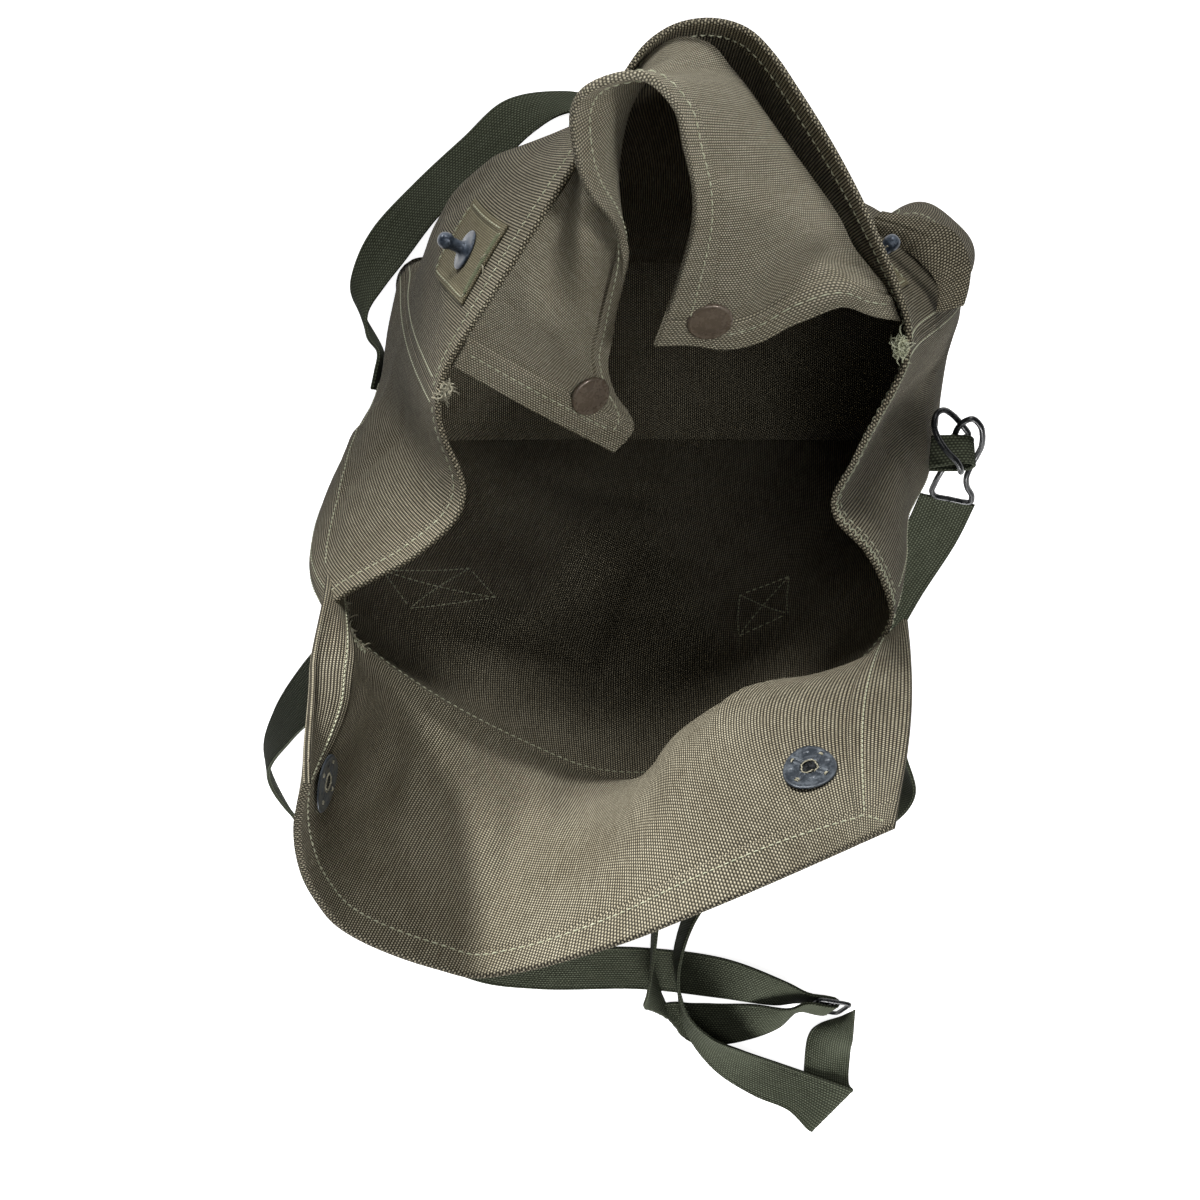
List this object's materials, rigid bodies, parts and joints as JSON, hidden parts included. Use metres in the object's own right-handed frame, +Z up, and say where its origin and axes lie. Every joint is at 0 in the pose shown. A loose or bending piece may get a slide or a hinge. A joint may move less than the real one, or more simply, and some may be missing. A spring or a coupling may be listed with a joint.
{
  "type": "gas mask bag",
  "caption": "Upright canvas shoulder bag for a gas mask, mouth open and flap raised, with stud fasteners, side pocket, wire hook and webbing straps laid out on the floor.",
  "frame": {"origin": "middle of the underside of the bottom panel, on the floor the bag stands on", "axes": "+Z up, +Y towards the front wall with the studs, +X towards the gusset that carries the wire hook"},
  "size_m": [0.3416, 0.5736, 0.3734],
  "materials": {
    "canvas": "olive drab cotton canvas",
    "twill": "olive cotton twill",
    "webbing": "dark olive woven webbing",
    "blue_steel": "blued grey metal",
    "black_metal": "black japanned wire",
    "brown_cap": "brown enamelled cap"
  },
  "bodies": {
    "root": {"front_panel": "canvas", "right_gusset": "canvas", "back_panel": "canvas", "left_gusset": "canvas", "flap": "canvas", "bottom_panel": "canvas", "inner_flap": "canvas", "pocket": "canvas", "pocket_flap": "canvas", "stud_patch_left": "twill", "stud_patch_right": "twill", "stud_left": "blue_steel", "stud_right": "blue_steel", "socket_left": "blue_steel", "socket_right": "blue_steel", "plate_left": "blue_steel", "plate_right": "blue_steel", "snap_cap_left": "brown_cap", "snap_cap_right": "brown_cap", "shoulder_strap": "webbing", "hook_strap": "webbing", "waist_strap": "webbing", "slide_buckle": "black_metal", "side_tab": "webbing", "wire_hook": "black_metal"}
  },
  "joints": []
}
